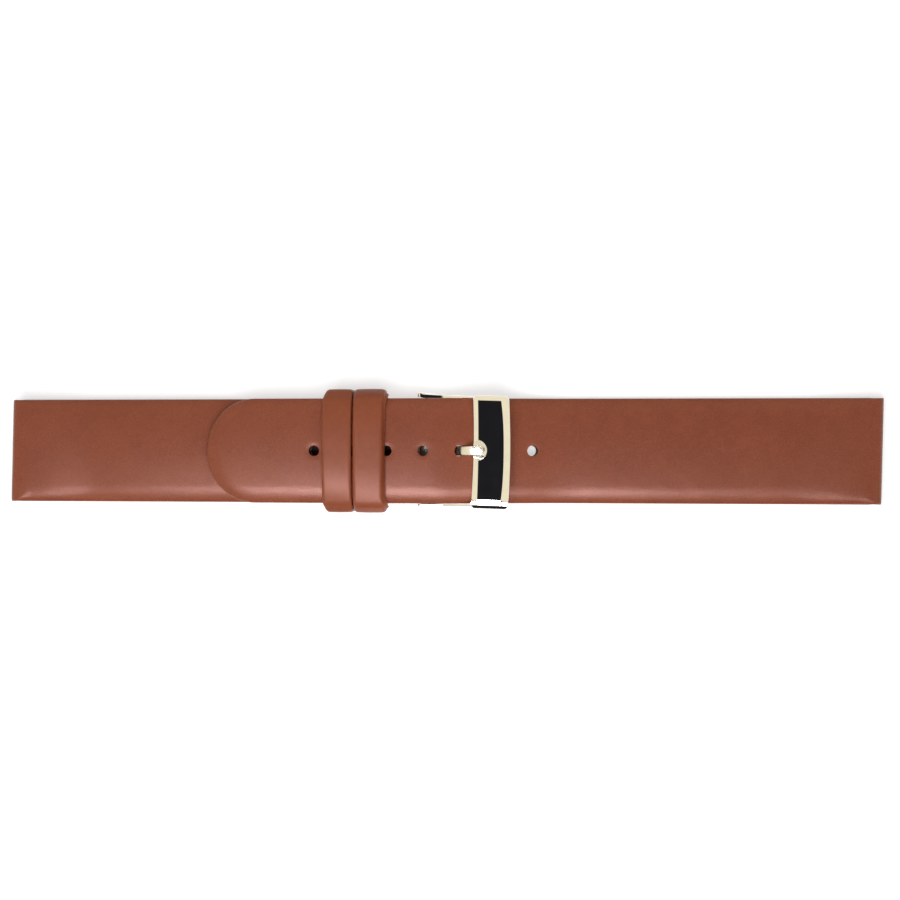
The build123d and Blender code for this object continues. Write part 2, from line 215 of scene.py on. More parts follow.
def roll_profile(radius, edge, base=0.0, power=2.0, crown=0.0):
    """Half section of a rolled end, the same above and below its axis."""
    flat = np.linspace(0, HALF - edge, TOP_STEPS + 1)[:-1]
    turn = np.linspace(0, math.pi / 2, EDGE_STEPS + 1)
    y = np.concatenate([flat, HALF - edge + edge * np.sin(turn)])
    fall = np.maximum(0.0, 1 - np.sin(turn) ** power) ** (1 / power)
    reach = radius * np.concatenate([np.ones(TOP_STEPS), fall]) - crown * (y / HALF) ** 2
    reach[-1] = 0.0
    top = np.stack([y, base + radius + reach], 1)
    under = np.stack([y, base + radius - reach], 1)
    return np.concatenate([top, under[::-1][1:]])


MIRROR = np.array([-1.0, 1.0])


def ring(profile):
    """Whole closed section from its right half."""
    return np.concatenate([profile, profile[1:-1][::-1] * MIRROR])


def both_sides(line):
    """Open line from side to side, from its right half."""
    return np.concatenate([line[1:][::-1] * MIRROR, line])


class Path:
    """Underside of a strap in side view: places, heights and slopes along the leather."""

    def __init__(self, start, runs, blur, step=0.02):
        angles = []
        for length, first, last in runs:
            count = max(2, int(round(length / step)))
            angles.append(np.linspace(first, last, count, endpoint=False))
        angles = np.concatenate(angles)
        width = max(1, int(blur / step))
        padded = np.concatenate([
            np.full(width, angles[0]), angles, np.full(width, angles[-1])])
        kernel = np.ones(width) / width
        smooth = np.convolve(np.convolve(padded, kernel, "same"), kernel, "same")
        self.angle = smooth[width:-width]
        self.u = np.arange(len(self.angle)) * step
        self.x = start[0] + np.concatenate([[0], np.cumsum(np.cos(self.angle))[:-1]]) * step
        self.z = start[1] + np.concatenate([[0], np.cumsum(np.sin(self.angle))[:-1]]) * step

    def at(self, u):
        return [np.interp(u, self.u, line) for line in (self.x, self.z, self.angle)]

    def u_of(self, x):
        return np.interp(x, self.x, self.u)

    def place(self, u, y, height):
        """Points beside the middle and above the underside, square to the leather."""
        x, z, angle = self.at(u)
        return np.stack([x - height * np.sin(angle), y + 0 * x, z + height * np.cos(angle)], -1)


def spread(*marks):
    """Places along a strap from pairs of (place, step after it)."""
    places = []
    for (low, step), (high, _) in zip(marks[:-1], marks[1:]):
        count = max(1, int(round((high - low) / step)))
        places.append(np.linspace(low, high, count, endpoint=False))
    return np.concatenate(places + [[marks[-1][0]]])


CREASE_PLACE, CREASE_RUN = 73.0, 17.0


def undulation(u, y):
    """Slow unevenness of the leather's surface, with shallow creases past the buckle."""
    soft = noise.noise(Vector((u * 0.11, y * 0.16, 3.1))) * 0.03
    crease_zone = math.exp(-((u - CREASE_PLACE) / CREASE_RUN) ** 2)
    wrinkle = noise.noise(Vector(((u + 0.9 * y) * 0.42, (y - 0.35 * u) * 0.30, 7.7)))
    fine = noise.noise(Vector(((u + 0.7 * y) * 0.95, (y - 0.3 * u) * 0.7, 1.7)))
    return soft + crease_zone * (0.022 * wrinkle + 0.006 * fine)


UPPER_FROM, UPPER_FADE = 0.62, 0.3
PIT_REACH, PIT_WIDTH, PIT_DEPTH = 3.0, 0.3, 0.07


def upper_points(heights):
    """Points on the upper side of a section, and how much unevenness each one takes."""
    top_level = heights[0]
    for k in np.nonzero(heights > top_level * UPPER_FROM)[0]:
        yield k, ease((heights[k] / top_level - UPPER_FROM) / UPPER_FADE)


def sweep(path, us, profiles, wobble=None, pits=()):
    """Grid of a section along a path; profiles gives the half section at each place."""
    rows = []
    for u, profile in zip(us, profiles):
        section = ring(profile)
        y, height = section[:, 0], section[:, 1].copy()
        if wobble is not None:
            for k, weight in upper_points(section[:, 1]):
                height[k] += weight * wobble(u, y[k])
                for pit in pits:
                    distance = math.hypot(u - pit, y[k])
                    if distance < PIT_REACH:
                        dip = math.exp(-((max(0.0, distance - HOLE_RADIUS)) / PIT_WIDTH) ** 2)
                        height[k] -= weight * PIT_DEPTH * dip
        rows.append(path.place(np.full(len(y), u), y, height))
    return np.array(rows)


def tip_cap(path, u, profile, long_share, steps=40, wobble=None):
    """Rounded loose end: the half section turned about its middle."""
    x0, z0, angle = [float(v) for v in path.at(u)]
    rows = []
    for turn in np.linspace(math.pi / 2, -math.pi / 2, steps + 1):
        back = -profile[:, 0] * long_share * math.cos(turn)
        y = profile[:, 0] * math.sin(turn)
        height = profile[:, 1].copy()
        if wobble is not None:
            for k, weight in upper_points(profile[:, 1]):
                height[k] += weight * wobble(u + back[k], y[k])
        x = x0 + back * math.cos(angle) - height * math.sin(angle)
        z = z0 + back * math.sin(angle) + height * math.cos(angle)
        rows.append(np.stack([x, y, z], 1))
    return np.array(rows)


def roll_cap(axis_x, axis_z, profile, middle, outward, steps=20):
    """Half turn of leather that closes a rolled end."""
    both = both_sides(profile[:PROFILE + 1])
    reach = both[:, 1] - middle
    flat_reach = reach.max() * np.maximum(0.0, 1 - (reach / reach.max() - 1) ** 2) ** 0.35
    rows = []
    for turn in np.linspace(0, math.pi, steps + 1):
        x = axis_x + outward * flat_reach * math.sin(turn)
        z = axis_z + reach * math.cos(turn)
        rows.append(np.stack([x, both[:, 0], z], 1))
    return np.array(rows)


def end_cap(path, u, profile):
    """Flat end of a layer: the upper side of its section joined to the underside."""
    count = len(profile) // 2
    over = both_sides(profile[:count + 1])
    under = both_sides(profile[::-1][:len(profile) - count])
    rows = [path.place(np.full(len(line), u), line[:, 0], line[:, 1]) for line in (over, under)]
    return np.array(rows)


# Sections of the plain strap, of its swell before a lug end and of the lug end
EDGE_LEVEL = 0.95  # where the plain strap is widest
PLAIN = strap_profile(THICK, CROWN, shoulder=3.0, toe=0.75, middle=EDGE_LEVEL, recess=0.3)
SWOLLEN = roll_profile(ROLL_RADIUS, edge=3.0, power=4.0, crown=0.1)
ROLLED = roll_profile(ROLL_RADIUS, edge=0.8, power=3.5)
NEARLY = 1e-6
SQUARE_RUN = 2.6  # length over which the lug end's square edge goes over into the swell


def blended(first, second, share):
    return first + (second - first) * share


def end_section(distance):
    """Section at a distance from the rolled end's axis."""
    section = blended(SWOLLEN, PLAIN, float(ease(distance / SWELL)))
    return blended(ROLLED, section, float(ease(distance / SQUARE_RUN)))


def close_recess(profile):
    """Fill the lining's recess, where the leather itself is the underside."""
    closed = profile.copy()
    under = closed[PROFILE + 1:]
    under[np.abs(under[:, 0]) < LINING_HALF + 0.1, 1] = 0.0
    return closed


# Tail

LEVEL_RUN = 18.0  # the tail's foot comes down to the table over this length

tail_path = Path(
    (SPLIT_X - (LOOSE - TIP) * math.cos(SLOPE), CREST_Z - (LOOSE - TIP) * math.sin(SLOPE)),
    [
        (LOOSE - TIP, SLOPE, SLOPE),
        (CREST_RADIUS * FALL, 0.0, -FALL),
        (SLANT, -FALL, -FALL),
        (FOOT_RADIUS * FALL, -FALL, 0.0),
        (70.0, 0.0, 0.0),
    ], 1.6)
rest_z = tail_path.z[-1]
tail_path.z -= rest_z * ease((tail_path.u - (LOOSE - TIP)) / LEVEL_RUN)
tail_end_u = float(tail_path.u_of(RIGHT_ROLL_X))
tail_mouth_u = tail_end_u - SWELL
split_u = LOOSE - TIP


def under_reach(reach):
    """Reach along the underside of a place that is measured along the upper face."""
    crest = (CREST_RADIUS + THICK) * FALL
    if reach <= 0:
        return reach
    if reach <= crest:
        return reach * CREST_RADIUS / (CREST_RADIUS + THICK)
    lost = THICK * FALL
    if reach <= crest + SLANT:
        return reach - lost
    gained = (reach - crest - SLANT) * THICK / (FOOT_RADIUS - THICK)
    return reach - max(0.0, lost - gained)


hole_us = [split_u + under_reach(reach) for reach in HOLES]


# Side view, as (x, z), of the room that the tongue takes as it lies and as it lifts
TONGUE_ROOM = [
    (-0.58, 1.93), (4.35, 3.43), (4.98, 4.44), (6.55, 5.58), (6.60, 7.10),
    (5.60, 7.04), (3.93, 5.66), (3.43, 4.78), (-0.97, 3.20)]
TONGUE_ROOM_HALF = 0.86
PUNCH_LOW, PUNCH_HIGH = -1.2, 3.6


def hole_cutters():
    """Punches for the holes, and the tongue's room."""
    cutters = []
    for u in hole_us:
        low, high = (tail_path.place(np.array([u]), 0.0, level)[0]
                     for level in (PUNCH_LOW, PUNCH_HIGH))
        cutters.append(cylinder(low, high, HOLE_RADIUS))
    cutters.append(prism(*[[(x, y, z) for x, z in TONGUE_ROOM]
                           for y in (-TONGUE_ROOM_HALF, TONGUE_ROOM_HALF)]))
    return cutters


tail_us = spread((0.0, 0.4), (tail_mouth_u, 0.4), (tail_end_u - LINING_SETBACK - 0.1, 0.1),
                 (tail_end_u - LINING_SETBACK, 0.4), (tail_end_u, 1))
tail_sections = []
for u in tail_us:
    section = end_section(tail_end_u - u)
    if u >= tail_end_u - LINING_SETBACK - NEARLY:
        section = close_recess(section)
    tail_sections.append(section)
tail_sections[-1] = ROLLED


def tail_wobble(u, y):
    """Unevenness that fades out at the lug end."""
    return undulation(u, y) * float(ease((tail_end_u - u) / 4.0))


tail_upper = make_mesh("tail_leather", [
    (tip_cap(tail_path, 0.0, tail_sections[0], TIP / HALF, wobble=tail_wobble), False),
    (sweep(tail_path, tail_us, tail_sections, tail_wobble, hole_us), True),
    (roll_cap(RIGHT_ROLL_X, ROLL_RADIUS, ROLLED, ROLL_RADIUS, 1), False),
])

LINING = strap_profile(
    thick=0.34, crown=0.0, shoulder=0.04, toe=0.2, middle=0.2, recess=0.02,
    half=LINING_HALF - 0.02, lip=LINING_HALF - 0.6)
lining_us = spread((0.0, 0.5), (tail_end_u - LINING_SETBACK - 0.03, 1))
tail_lining = make_mesh("tail_lining", [
    (tip_cap(tail_path, 0.0, LINING, (TIP - 0.85) / LINING_HALF), False),
    (sweep(tail_path, lining_us, [LINING for _ in lining_us]), True),
    (end_cap(tail_path, lining_us[-1], LINING), False),
])
cut(tail_upper, hole_cutters())
cut(tail_lining, hole_cutters())


# Short strap

short_path = Path((LEFT_ROLL_X, SHORT_Z), [(BAR_X - LEFT_ROLL_X + 1, 0.0, 0.0)], 0.1)
short_end_u = BAR_X - LEFT_ROLL_X
FOLDED = roll_profile(FOLD_RADIUS, edge=0.45, base=BAR_Z - SHORT_Z - FOLD_RADIUS)
FOLD_RUN = 5.2
FLAP_DROP = 0.5
flap_u = short_end_u - 6.4
fold_u = short_end_u - FOLD_RUN
short_us = spread((0.0, 0.4), (LINING_SETBACK, 0.1), (LINING_SETBACK + 0.1, 0.45),
                  (flap_u - 0.1, 0.08), (flap_u + 0.7, 0.3), (short_end_u, 1))


def lowered(profile, drop):
    """Section whose underside is lowered by the leather folded under it."""
    result = profile.copy()
    under = result[PROFILE + 1:]
    share = 1 - np.clip(under[:, 1] / EDGE_LEVEL, 0, 1)
    under[:, 1] -= drop * share
    return result


short_sections = []
for u in short_us:
    section = end_section(u)
    if u < LINING_SETBACK + NEARLY:
        section = close_recess(section)
    if u > flap_u:
        section = lowered(close_recess(section), FLAP_DROP * float(ease((u - flap_u) / 0.6)))
    if u > fold_u:
        section = blended(section, FOLDED, float(ease((u - fold_u) / FOLD_RUN)))
    short_sections.append(section)
short_sections[0] = ROLLED
short_sections[-1] = FOLDED


def short_wobble(u, y):
    """Same unevenness from another part of the hide, fading out at both ends."""
    return undulation(u + 230.0, y + 40.0) * float(ease(u / 4.0) * ease((fold_u - u) / 3.0))


short_upper = make_mesh("short_leather", [
    (roll_cap(LEFT_ROLL_X, SHORT_Z + ROLL_RADIUS, ROLLED, ROLL_RADIUS, -1), False),
    (sweep(short_path, short_us, short_sections, short_wobble), True),
    (roll_cap(BAR_X, BAR_Z, FOLDED, BAR_Z - SHORT_Z, 1), False),
])
short_lining_us = spread((LINING_SETBACK + 0.03, 0.5), (flap_u + 0.3, 1))
short_lining = make_mesh("short_lining", [
    (end_cap(short_path, short_lining_us[0], LINING), False),
    (sweep(short_path, short_lining_us, [LINING for _ in short_lining_us]), True),
    (end_cap(short_path, short_lining_us[-1], LINING), False),
])

SLOT_HALF, SLOT_DEPTH, SLOT_ROUND = 1.7, 3.4, 0.9
BAR_BORE, LUG_BORE = 1.0, 1.1
PAST_EDGE = 12  # beyond the strap's edges and the frame's arms


def slot_cutter():
    """Room for the tongue in the fold: a slot with a rounded inner end."""
    outline = [(BAR_X + 4.0, -SLOT_HALF), (BAR_X + 4.0, SLOT_HALF)]
    centre = BAR_X - SLOT_DEPTH + SLOT_ROUND
    for corner, first in ((SLOT_HALF - SLOT_ROUND, 90), (-SLOT_HALF + SLOT_ROUND, 180)):
        for step in range(7):
            turn = math.radians(first + step * 15)
            outline.append(
                (centre + SLOT_ROUND * math.cos(turn), corner + SLOT_ROUND * math.sin(turn)))
    return prism(*[[(x, y, z) for x, y in outline] for z in (-0.5, 7)])


def bore(x, z, radius, sides=64, reach=PAST_EDGE):
    """Cutter for a round hole across the strap."""
    return cylinder((x, -reach, z), (x, reach, z), radius, sides)


cut(short_upper, [slot_cutter(), bore(BAR_X, BAR_Z, BAR_BORE),
                  bore(LEFT_ROLL_X, SHORT_Z + ROLL_RADIUS, LUG_BORE)])
cut(tail_upper, [bore(RIGHT_ROLL_X, ROLL_RADIUS, LUG_BORE)])


def round_rows(x, z, sizes, sides):
    """Rings around an axis across the strap, one for each (y, radius)."""
    turns = np.linspace(0, 2 * math.pi, sides + 1)[:-1]
    return np.array([
        np.stack([x + radius * np.cos(turns), np.full(sides, y), z + radius * np.sin(turns)], 1)
        for y, radius in sizes])


def tube(name, x, z, outer, inner, ends):
    """Woven tape rolled into a tube, over one or more stretches across the strap."""
    grids = []
    for low, high in ends:
        sizes = ((low, inner), (low, outer), (high, outer), (high, inner), (low, inner))
        grids.append((round_rows(x, z, sizes, 48), True))
    return make_mesh(name, grids)


LUG_TAPE = 1.08, 0.9, [(-8.7, 8.7)]
LOOP_TAPE = 0.98, 0.8, [(-8.45, -SLOT_HALF - 0.02), (SLOT_HALF + 0.02, 8.45)]
short_tape = tube("short_lug_tape", LEFT_ROLL_X, SHORT_Z + ROLL_RADIUS, *LUG_TAPE)
tail_tape = tube("tail_lug_tape", RIGHT_ROLL_X, ROLL_RADIUS, *LUG_TAPE)
loop_tape = tube("loop_tape", BAR_X, BAR_Z, *LOOP_TAPE)

SLANT_START, SLANT_RUN, END_SLANT = 62.0, 9.0, 0.0225


def slant_ends(pieces):
    """Both lug ends are cut a little out of square."""
    for piece in pieces:
        for point in piece.data.vertices:
            share = float(ease((abs(point.co.x) / MM - SLANT_START) / SLANT_RUN))
            point.co.x += END_SLANT * share * point.co.y


slant_ends([short_upper, short_lining, short_tape, tail_upper, tail_lining, tail_tape])


# Keepers

WALL = 1.15
KEEPER_HALF, KEEPER_TOP = 9.3, 6.25  # inner half width, and the inside's highest point
KEEPER_LENGTH = 5.0
FREE_X, FIXED_X = -16.4, -11.15
PARED_WALL = 0.34
FIXED_LOW = 2.05


def rounded_loop(inner_half, low, high, corner_low, corner_high, dome, steps=10):
    """Closed inner line of a keeper in the cross view, from the middle of its top."""
    points = []

    def arc(cy, cz, radius, first, last):
        for turn in np.linspace(math.radians(first), math.radians(last), steps + 1):
            points.append((cy + radius * math.sin(turn), cz + radius * math.cos(turn)))

    end_y = inner_half - corner_high
    run = np.linspace(0, end_y, 18)[:-1]
    points += [(y, high - dome * (y / inner_half) ** 3) for y in run]
    end_z = high - dome * (end_y / inner_half) ** 3
    slope = math.degrees(math.atan(3 * dome / inner_half * (end_y / inner_half) ** 2))
    turn = math.radians(slope)
    radius = corner_high / (1 - math.sin(turn))
    arc(end_y - radius * math.sin(turn), end_z - radius * math.cos(turn), radius, slope, 90)
    side_y = points[-1][0]
    points += [(side_y, z) for z in np.linspace(points[-1][1], low + corner_low, 8)[1:-1]]
    arc(side_y - corner_low, low + corner_low, corner_low, 90, 180)
    points += [(y, low) for y in np.linspace(points[-1][0], 0, 12)[1:]]
    return points


def outward_normals(points, closed):
    """Outward unit normals of a line in the cross view."""
    line = np.array(points)
    before = np.roll(line, 1, 0)
    after = np.roll(line, -1, 0)
    if not closed:
        before[0], after[-1] = line[0], line[-1]
    along = after - before
    along /= np.linalg.norm(along, axis=1)[:, None]
    return np.stack([-along[:, 1], along[:, 0]], 1)


def keeper_section(wall, round_out, round_in, swell, skirt, steps=8):
    """Strip's section as (place along the strap, distance out), its right foot spread by skirt."""
    half = KEEPER_LENGTH / 2
    section = []
    turns = np.linspace(0, math.pi / 2, steps + 1)
    soft = 1.5 * round_out
    for x in np.linspace(-half + soft, half - soft, 9)[:-1]:
        section.append((x, wall + swell * (1 - (x / half) ** 2)))
    edge_level = wall + swell * (1 - ((half - soft) / half) ** 2)
    for turn in turns:
        section.append((half - soft + soft * math.sin(turn),
                        edge_level - round_out * (1 - math.cos(turn))))
    for turn in turns:
        section.append((half + skirt - round_in * (1 - math.cos(turn)),
                        round_in - round_in * math.sin(turn)))
    for turn in turns:
        section.append((-half + round_in - round_in * math.sin(turn),
                        round_in * (1 - math.cos(turn))))
    for turn in turns:
        section.append((-half + soft * (1 - math.cos(turn)),
                        edge_level - round_out + round_out * math.sin(turn)))
    return np.array(section)


def keeper(name, middle_x, right_half, wall_of, closed, skirt=0.0, taper=0.0):
    """Leather loop: a strip's section carried along its inner line."""
    mirror = [(-y, z) for y, z in reversed(right_half[1:-1 if closed else None])]
    line = right_half + mirror if closed else mirror + right_half
    rows = []
    for (y, z), (ny, nz) in zip(line, outward_normals(line, closed)):
        wall = wall_of(y, z)
        edge = min(0.45, wall * 0.42)
        swell = min(0.06, wall * 0.06) if nz > -0.5 else 0.0
        foot = skirt * (0.5 + 0.25 * min(1.0, abs(y) / KEEPER_HALF) ** 4)
        foot *= float(ease((z - 3.0) / 1.5))
        section = keeper_section(wall, edge, min(0.2, wall * 0.3), swell, foot)
        out_y, out_z = y + ny * section[:, 1], z + nz * section[:, 1]
        left = np.clip(0.5 - section[:, 0] / 2.0, 0, 1)
        along = section[:, 0] + taper * left * ease((np.abs(out_y) - 8.7) / 1.7)
        along += 0.45 * skirt * (1 - left) * ease((np.abs(out_y) - 8.0) / 1.2)
        rows.append(np.stack([middle_x + along, out_y, out_z], 1))
    grids = [(np.array(rows + rows[:1]), True)] if closed else capped(rows)
    return make_mesh(name, grids)


def shoulder_wall(y, z, thinner):
    """The loop's wall is pressed thinner towards the shoulders of its top."""
    return WALL - thinner * min(1.0, abs(y) / KEEPER_HALF) ** 3 * float(ease((z - 4.6) / 0.6))


def free_wall(y, z):
    return shoulder_wall(y, z, 0.36)


def fixed_wall(y, z):
    """The keeper's ends are pared thin where they go in under the strap's turned edge."""
    share = ease((z - 2.3) / 1.2)
    return PARED_WALL + (shoulder_wall(y, z, 0.16) - PARED_WALL) * float(share)


free_line = rounded_loop(
    KEEPER_HALF, WALL, KEEPER_TOP, corner_low=0.6, corner_high=1.1, dome=1.02)
free_keeper = keeper("free_keeper_leather_loop", FREE_X, free_line, free_wall, True, taper=0.4)
fixed_line = rounded_loop(
    KEEPER_HALF, FIXED_LOW, KEEPER_TOP, corner_low=0.6, corner_high=1.1, dome=0.74)
fixed_line = [(y, z) for y, z in fixed_line if not (z < FIXED_LOW + 0.01 and abs(y) < 6.0)]
fixed_keeper = keeper(
    "fixed_keeper_leather_loop", FIXED_X, fixed_line, fixed_wall, False, skirt=0.7)


# Buckle: front bar, arms and tongue

FRAME_HALF = 9.5
FRAME_SHARP = 30.0
BAR_LOW, BAR_TOP = 5.075, 6.475
INNER_X, OUTER_X = 6.34, 12.84
BULGE, PULL_IN = 0.27, 0.34  # bows of the front bar's inner and outer edges
INNER_BEVEL, OUTER_BEVEL = 0.51, 0.40  # slopes of the bevels along both edges
EDGE_TURN = 0.09
# At the lower and the upper end: where the slope and the rim start, and the rim's slope
RIMS = {
    -1: (7.87, 8.93, math.tan(math.radians(34.0))),
    1: (8.62, 8.9, math.tan(math.radians(24.0))),
}


def front_bar():
    """Front bar: a softly faceted top inside bowed edges, gently sloped ends."""
    corner, end_round, end_slope = 0.75, 0.1, math.tan(math.radians(9.0))
    turns = np.linspace(0, math.pi / 2, 9)
    tip = FRAME_HALF - corner + corner * np.sin(turns)
    near_tip = np.linspace(7.8, FRAME_HALF - corner - 0.06, 9)
    ys = np.concatenate([np.linspace(0, 7.6, 39), near_tip, tip])
    ys = np.concatenate([-ys[::-1][:-1], ys])
    shares = np.array([0, 0.03, 0.08, 0.2, 0.4, 0.6, 0.8, 0.9, 0.96, 1.0, 1.04, 1.1, 1.2])
    side_shares = (0.25, 0.5, 0.75, 0.93)

    def soft_over(value):
        return 0.5 * (value + math.sqrt(value * value + 0.0009))

    rows = []
    for y in ys:
        out = abs(y) / FRAME_HALF
        beyond = max(0.0, abs(y) - FRAME_HALF + corner)
        cut_in = corner - math.sqrt(max(0.0, corner ** 2 - beyond ** 2))
        inner = INNER_X + BULGE * (1 - out ** 2) + 0.011 * y + cut_in
        outer = OUTER_X - PULL_IN * out ** 2 - cut_in
        top_inner = INNER_X + BULGE * (1 - out ** 2) + 0.86 + 0.1 * out ** 2
        top_outer = OUTER_X - PULL_IN * out ** 2 - 1.13 - 0.30 * out ** 3
        into = max(0.0, abs(y) - FRAME_HALF + end_round)
        slope_start, rim_start, rim_slope = RIMS[-1 if y < 0 else 1]
        ends = end_slope * soft_over(abs(y) - slope_start)
        ends += rim_slope * soft_over(abs(y) - rim_start)
        stopped = 1 - 0.85 * float(ease((-y - 7.9) / 0.32))
        ends += end_round - math.sqrt(max(0.0, end_round ** 2 - into ** 2))
        inside = inner + shares * (top_inner - inner)
        flat = np.linspace(inside[-1], top_outer - 0.2 * (outer - top_outer), 9)[1:-1]
        outside = outer - shares[::-1] * (outer - top_outer)
        xs = np.concatenate([inside, flat, outside])
        ring_points = []
        for x in xs:
            fall = stopped * (
                INNER_BEVEL * soft_over(top_inner - x) + OUTER_BEVEL * soft_over(x - top_outer))
            edge = min(x - inner, outer - x)
            turn_over = EDGE_TURN * max(0.0, 1 - edge / EDGE_TURN) ** 2
            ring_points.append(
                (x, BAR_TOP - max(fall, 0.0) - ends * math.exp(-fall * 1.2) - turn_over))
        right, left = ring_points[-1], ring_points[0]
        for share in side_shares:
            ring_points.append((outer, right[1] + share * (BAR_LOW - right[1])))
        for x in np.linspace(outer - EDGE_TURN, inner + EDGE_TURN, 12):
            ring_points.append((x, BAR_LOW))
        for share in side_shares[::-1]:
            ring_points.append((inner, left[1] + share * (BAR_LOW - left[1])))
        rows.append([(x, y, z) for x, z in ring_points])
    return make_mesh("buckle_frame_polished", capped(rows), FRAME_SHARP)


def between(first, last, shares):
    """Points on the straight line from one point to another."""
    first, last = np.array(first), np.array(last)
    return [tuple(first + share * (last - first)) for share in shares]


# For each side: an arm's outer and inner face by the eye and how far each goes in or out
# towards the front bar, the flare behind the eye, and the outer edge's rounding
ARMS = {1: (9.56, -0.24, 8.87, 0.16, 0.34, 0.12), -1: (9.44, -0.26, 9.03, -0.19, 0.14, 0.24)}
INSIDE_ROUND, SIDE_ROUND, ARM_RUN = 0.05, 0.15, 8.1


def arm(side):
    """Arm of the frame, with its eye, a rounded edge and an end that flares out a little."""
    outline = []
    for turn in np.radians(np.arange(90, 176, 9)):
        outline.append((BAR_X - 0.8 + 0.7 * math.cos(turn), BAR_Z + 0.8 + 0.7 * math.sin(turn)))
    for turn in np.radians(np.arange(180, 291, 7.5)):
        outline.append((BAR_X + 1.5 * math.cos(turn), BAR_Z + 1.5 * math.sin(turn)))
    foot, head, rise = (8.85, BAR_LOW + 0.12), (7.7, BAR_TOP - 0.6), (0.9, BAR_Z + 1.56)
    outline += between(outline[-1], foot, np.linspace(0.1, 1, 10))
    outline += between(head, rise, np.linspace(0, 0.9, 9))
    outline += between(rise, outline[0], np.linspace(0.1, 0.9, 6))
    line = np.array(outline)
    along = np.roll(line, -1, 0) - np.roll(line, 1, 0)
    along /= np.linalg.norm(along, axis=1)[:, None]
    inward = np.stack([-along[:, 1], along[:, 0]], 1)
    turns = np.linspace(0, math.pi / 2, 8)
    outer_start, outer_way, inner_start, inner_way, widest, outside_round = ARMS[side]
    rows = []
    profile = [(True, outside_round * (1 - math.sin(turn)), SIDE_ROUND * (1 - math.cos(turn)))
               for turn in turns[::-1]]
    profile += [(False, INSIDE_ROUND * (1 - math.sin(turn)), INSIDE_ROUND * (1 - math.cos(turn)))
                for turn in turns]
    for outer_face, level, inset in profile:
        ring_line = line + inward * inset
        near = np.clip((ring_line[:, 0] - BAR_X) / ARM_RUN, 0, 1)
        outer = outer_start + outer_way * near
        inner = inner_start + inner_way * near
        flare = widest * ease(BAR_X - 0.25 - ring_line[:, 0])
        y = outer + flare - level if outer_face else inner + 0.6 * flare + level
        rows.append(np.stack([ring_line[:, 0], side * y, ring_line[:, 1]], 1))
    return make_mesh("arm", capped(rows))


def notch_cutter():
    """Dished seat for the tongue: a trough with a round end."""
    half, depth, end_x, centre = 1.75, 0.72, 8.93, 0.3
    radius = (half ** 2 + depth ** 2) / (2 * depth)
    level = BAR_TOP - depth + radius
    around = np.linspace(0, 2 * math.pi, 97)[:-1]
    reaches = [(4.0, 1.0)] + [
        (end_x - half + radius * math.sin(turn), math.cos(turn))
        for turn in np.linspace(0, math.pi / 2 - 0.002, 40)]
    rows = [np.stack([
        np.full(len(around), x), centre + radius * share * np.sin(around),
        level + radius * share * np.cos(around)], 1) for x, share in reaches]
    return make_mesh("cutter", capped(rows))


SKEW_SHIFT, SKEW, BAR_SKEW, SKEW_RUN = 0.09, 0.0315, 0.010, 7.0


def skew(piece):
    """The frame sits a little askew between the strap's edges, its eyes still on the pins."""
    for point in piece.data.vertices:
        x, y = point.co.x / MM, point.co.y / MM
        reach = max(0.0, x - BAR_X)
        y += SKEW_SHIFT - reach * SKEW
        x += y * BAR_SKEW * float(ease(reach / SKEW_RUN))
        point.co.x, point.co.y = x * MM, y * MM


buckle_frame = join(front_bar(), [arm(1), arm(-1)])
cut(buckle_frame, [notch_cutter(), bore(BAR_X, BAR_Z, 0.43, 40)], FRAME_SHARP)
skew(buckle_frame)

# Tongue
TONGUE_HALF, TONGUE_THICK, TIP_RUN = 0.8, 0.9, 0.62
EYE_HALF, EYE_RADIUS, EYE_BORE, EYE_EDGE = 1.4, 1.35, 0.8, 0.18
tongue_path = Path((-0.75, 2.50), [
    (4.97, math.radians(17.0), math.radians(17.0)),
    (1.13, math.radians(58.0), math.radians(58.0)),
    (1.98, math.radians(36.0), math.radians(36.0)),
    (2.12, math.radians(7.7), math.radians(7.7))], 0.45)


def tongue_half(width, thick, crown, steps=8):
    """Half section of the tongue: crowned above, flat below, with rounded edges."""
    edge = 0.26 * min(1.0, thick / TONGUE_THICK)
    flat = width - edge
    points = []
    for y in np.linspace(0, flat, steps + 1)[:-1]:
        points.append((y, thick / 2 - crown * (y / width) ** 2))
    shoulder = thick / 2 - crown * (flat / width) ** 2
    for turn in np.linspace(0, math.pi / 2, steps + 1):
        points.append((flat + edge * math.sin(turn), shoulder - edge * (1 - math.cos(turn))))
    for turn in np.linspace(0, math.pi / 2, steps + 1):
        points.append((flat + edge * math.cos(turn), -thick / 2 + edge * (1 - math.sin(turn))))
    for y in np.linspace(flat, 0, steps + 1)[1:]:
        points.append((y, -thick / 2))
    return np.array(points)


